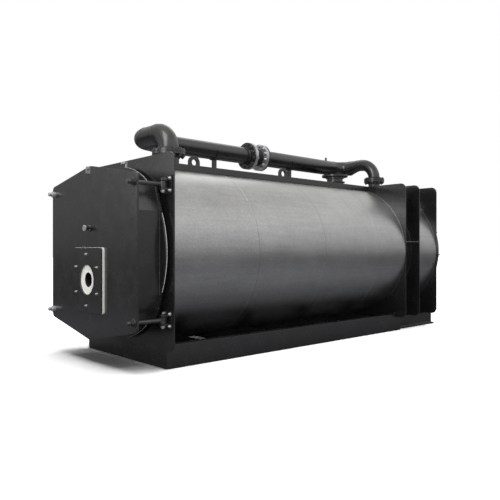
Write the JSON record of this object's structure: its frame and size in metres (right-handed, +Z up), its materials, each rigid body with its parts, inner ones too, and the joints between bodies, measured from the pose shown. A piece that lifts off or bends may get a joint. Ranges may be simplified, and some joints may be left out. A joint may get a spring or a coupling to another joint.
{
  "type": "packaged industrial hot water boiler with economizer",
  "caption": "Horizontal fire-tube hot water boiler on a skid, with a hinged burner door, square casing plates, top pipe with expansion joint and an economizer behind.",
  "frame": {"origin": "on the floor, under the middle of the whole unit from front to rear and side to side", "axes": "+Z up, -Y towards the burner door, +Y towards the flue, +X to the hinge side of the door"},
  "size_m": [1.784, 5.197, 2.543],
  "materials": {
    "black_paint": "satin black stove paint",
    "cladding_metal": "stucco-embossed bright aluminium sheet",
    "zinc_plate": "bright zinc plate",
    "blackened_steel": "oiled black steel, polished where it turns",
    "bare_steel": "mill steel, dull",
    "black_rubber": "moulded rubber",
    "refractory": "cast ceramic refractory, matt off-white",
    "mineral_wool": "mineral wool mat"
  },
  "bodies": {
    "boiler": {"base_rail_right": "black_paint", "base_rail_left": "black_paint", "base_end_beams": "black_paint", "saddles": "black_paint", "rear_frame": "black_paint", "front_plate": "black_paint", "boiler_rear_plate": "black_paint", "economizer_front_plate": "black_paint", "economizer_rear_plate": "black_paint", "shell_barrel": "bare_steel", "insulation": "mineral_wool", "cladding_sheet_1": "cladding_metal", "cladding_sheet_2": "cladding_metal", "cladding_sheet_3": "cladding_metal", "cladding_sheet_4": "cladding_metal", "front_collar": "black_paint", "front_tube_plate": "bare_steel", "furnace_tube": "bare_steel", "smoke_tubes": "bare_steel", "smoke_box": "black_paint", "economizer_barrel": "black_paint", "economizer_cladding": "cladding_metal", "rear_cover": "black_paint", "flue_spigot": "black_paint", "walkway_deck": "black_paint", "lifting_lugs": "black_paint", "return_nozzle": "black_paint", "flow_nozzle": "black_paint", "economizer_nozzle": "black_paint", "front_riser": "black_paint", "rear_riser": "black_paint", "pipe_front": "black_paint", "pipe_rear": "black_paint", "joint_rings": "zinc_plate", "joint_bellows": "black_rubber", "pipe_supports": "black_paint", "hinge_brackets": "black_paint", "tie_bars": "zinc_plate", "top_clip": "zinc_plate"},
    "front_door": {"door_ring": "black_paint", "door_casing": "black_paint", "door_cover": "black_paint", "door_lining": "refractory", "burner_plate": "black_paint", "burner_throat": "refractory", "sight_glass": "zinc_plate", "tie_rods": "blackened_steel", "cover_eye": "zinc_plate", "burner_gasket": "refractory"}
  },
  "joints": [
    {"name": "front_door_hinge", "type": "hinge", "parent": "boiler", "child": "front_door", "pos_m": [0.807, -2.2315, 1.066], "axis": [0, 0, 1], "range_deg": [0, 95]}
  ]
}
